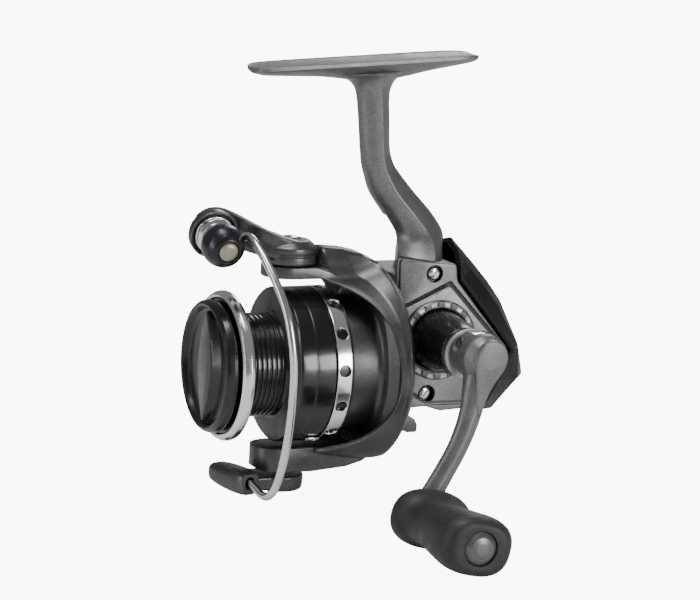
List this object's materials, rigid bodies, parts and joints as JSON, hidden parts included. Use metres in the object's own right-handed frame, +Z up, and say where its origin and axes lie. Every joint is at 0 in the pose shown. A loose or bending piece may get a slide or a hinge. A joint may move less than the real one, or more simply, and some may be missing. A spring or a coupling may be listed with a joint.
{
  "type": "spinning reel",
  "caption": "Compact spinning fishing reel: rod foot and stem, gear case, folding crank handle, rotor with bail and line roller, front-drag spool.",
  "frame": {"origin": "centre of the flat strip on top of the foot, where the reel seats against the rod", "axes": "+Z up into the rod, square to the foot's seat; the spool points to -X and the handle is on the -Y side; the main shaft tilts nose-up by 3.4 degrees"},
  "size_m": [0.0915, 0.103, 0.1154],
  "materials": {
    "painted_grey": "satin metallic",
    "rotor_grey": "satin metallic",
    "gloss_black": "gloss",
    "spool_black": "gloss anodised",
    "polished_aluminium": "polished",
    "polished_steel": "polished",
    "arm_grey": "satin metallic",
    "soft_black": "matte",
    "cap_grey": "satin",
    "cone_black": "satin",
    "bearing_steel": "ground",
    "gear_zinc": "as cast",
    "brass": "machined",
    "felt": "felt",
    "white_resin": "moulded"
  },
  "bodies": {
    "reel_body": {"body_frame": "painted_grey", "side_cover": "painted_grey", "rear_cover": "gloss_black", "cover_ring": "painted_grey", "handle_boss": "gloss_black", "cover_screw_top": "polished_steel", "cover_screw_low": "polished_steel", "drive_bearing_near": "bearing_steel", "drive_bearing_far": "bearing_steel", "pinion_bearing": "bearing_steel", "one_way_clutch": "bearing_steel", "clutch_retainer": "bearing_steel", "guide_rod": "polished_steel", "oscillation_axle": "polished_steel"},
    "anti_reverse_lever": {"anti_reverse_lever": "rotor_grey"},
    "drive_train": {"drive_gear": "gear_zinc", "drive_shaft": "polished_steel", "handle_collar": "polished_aluminium", "oscillation_pinion": "brass", "handle_screw_cap": "gloss_black"},
    "handle": {"handle_arm": "arm_grey", "fold_pin": "polished_steel", "knob_shaft": "polished_steel"},
    "knob": {"handle_knob": "soft_black", "knob_cap": "cap_grey"},
    "oscillation_gear": {"oscillation_gear": "white_resin"},
    "rotor": {"rotor": "rotor_grey", "pinion_gear": "brass", "rotor_nut": "brass", "lower_arm_cover": "rotor_grey", "bail_spring": "polished_steel"},
    "kick_lever": {"kick_lever": "polished_steel"},
    "bail": {"bail_arm": "rotor_grey", "bail_wire": "polished_steel", "bail_end_lever": "rotor_grey", "bail_arm_screw": "polished_steel", "end_lever_screw": "polished_steel", "roller_washer": "polished_aluminium", "bail_cone": "cone_black", "roller_screw": "cap_grey"},
    "line_roller": {"line_roller": "polished_steel"},
    "main_shaft": {"main_shaft": "polished_steel", "oscillation_slider": "gear_zinc", "click_gear": "white_resin", "drag_washer_steel": "bearing_steel"},
    "spool": {"spool": "spool_black", "spool_lip_ring": "polished_aluminium", "skirt_band": "polished_aluminium", "line_clip": "bearing_steel", "drag_washer_felt_rear": "felt", "drag_washer_felt_front": "felt", "drag_clip": "polished_steel"},
    "drag_knob": {"drag_knob": "gloss_black", "drag_nut": "brass"}
  },
  "joints": [
    {"name": "handle_spin", "type": "hinge", "parent": "reel_body", "child": "drive_train", "pos_m": [0.01496, 0, -0.07071], "axis": [0, 1, 0], "continuous": true},
    {"name": "handle_fold", "type": "hinge", "parent": "drive_train", "child": "handle", "pos_m": [0.01519, -0.0356, -0.06682], "axis": [-0.9982, 0, 0.0593], "range_deg": [0, 90]},
    {"name": "knob_spin", "type": "hinge", "parent": "handle", "child": "knob", "pos_m": [-0.00265, -0.06, -0.10743], "axis": [0, 1, 0], "continuous": true},
    {"name": "rotor_spin", "type": "hinge", "parent": "reel_body", "child": "rotor", "pos_m": [0.0145, 0, -0.0784], "axis": [0.9982, 0, -0.0593], "continuous": true},
    {"name": "oscillation_gear_spin", "type": "hinge", "parent": "reel_body", "child": "oscillation_gear", "pos_m": [0.02347, 0, -0.07577], "axis": [0, 1, 0], "continuous": true},
    {"name": "spool_slide", "type": "slide", "parent": "reel_body", "child": "main_shaft", "axis": [0.9982, 0, -0.0593], "range_m": [-0.0018, 0.0062]},
    {"name": "spool_spin", "type": "hinge", "parent": "main_shaft", "child": "spool", "pos_m": [0.0145, 0, -0.0784], "axis": [0.9982, 0, -0.0593], "continuous": true},
    {"name": "drag_knob_turn", "type": "hinge", "parent": "main_shaft", "child": "drag_knob", "pos_m": [0.0145, 0, -0.0784], "axis": [0.9982, 0, -0.0593], "range_deg": [-360, 360]},
    {"name": "bail_pivot", "type": "hinge", "parent": "rotor", "child": "bail", "pos_m": [-0.02244, 0, -0.07621], "axis": [-0.0593, 0, -0.9982], "range_deg": [0, 100]},
    {"name": "kick_lever_slide", "type": "slide", "parent": "rotor", "child": "kick_lever", "axis": [0.9982, 0, -0.0593], "range_m": [0, 0.0028]},
    {"name": "line_roller_spin", "type": "hinge", "parent": "bail", "child": "line_roller", "pos_m": [-0.04044, 0.0005, -0.04198], "axis": [-0.0142, -0.9707, -0.2398], "continuous": true},
    {"name": "anti_reverse_flip", "type": "hinge", "parent": "reel_body", "child": "anti_reverse_lever", "pos_m": [0.01073, 0, -0.0912], "axis": [0.9982, 0, -0.0593], "range_deg": [0, 35]}
  ],
  "couplings": [
    {"joint": "rotor_spin", "follows": "handle_spin", "ratio": -4.8},
    {"joint": "oscillation_gear_spin", "follows": "handle_spin", "ratio": -0.5},
    {"joint": "kick_lever_slide", "follows": "bail_pivot", "m_per_rad": 0.0016}
  ]
}
